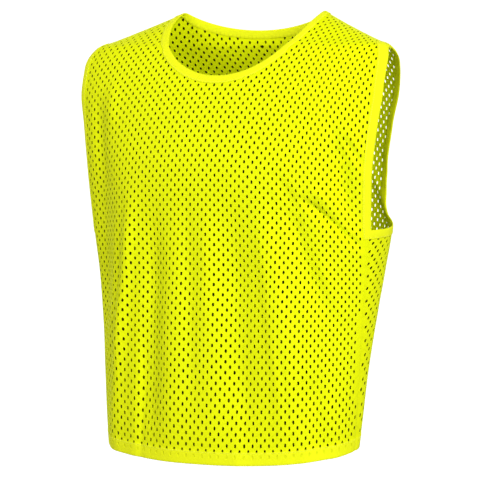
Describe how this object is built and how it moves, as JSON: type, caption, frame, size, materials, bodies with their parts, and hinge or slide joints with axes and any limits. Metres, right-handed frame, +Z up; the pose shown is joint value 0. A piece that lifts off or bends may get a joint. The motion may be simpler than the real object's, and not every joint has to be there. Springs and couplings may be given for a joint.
{
  "type": "mesh training bib, worn",
  "caption": "Sleeveless pull-on sports bib in perforated mesh, hollow as worn, with bound neck and armholes and a turned hem.",
  "frame": {"origin": "where the wearer's shoulders hold it: midway between the two neck corners, level with them, on the shoulder line", "axes": "+Z up, -Y the way the front faces, +X the wearer's left"},
  "size_m": [0.549, 0.2387, 0.6827],
  "materials": {
    "mesh_knit": "matte perforated polyester mesh, fluorescent yellow",
    "binding_knit": "matte plain knit binding, fluorescent yellow"
  },
  "bodies": {
    "root": {"front_panel": "mesh_knit", "back_panel": "mesh_knit", "neck_binding": "binding_knit", "armhole_binding_left": "binding_knit", "armhole_binding_right": "binding_knit"}
  },
  "joints": []
}
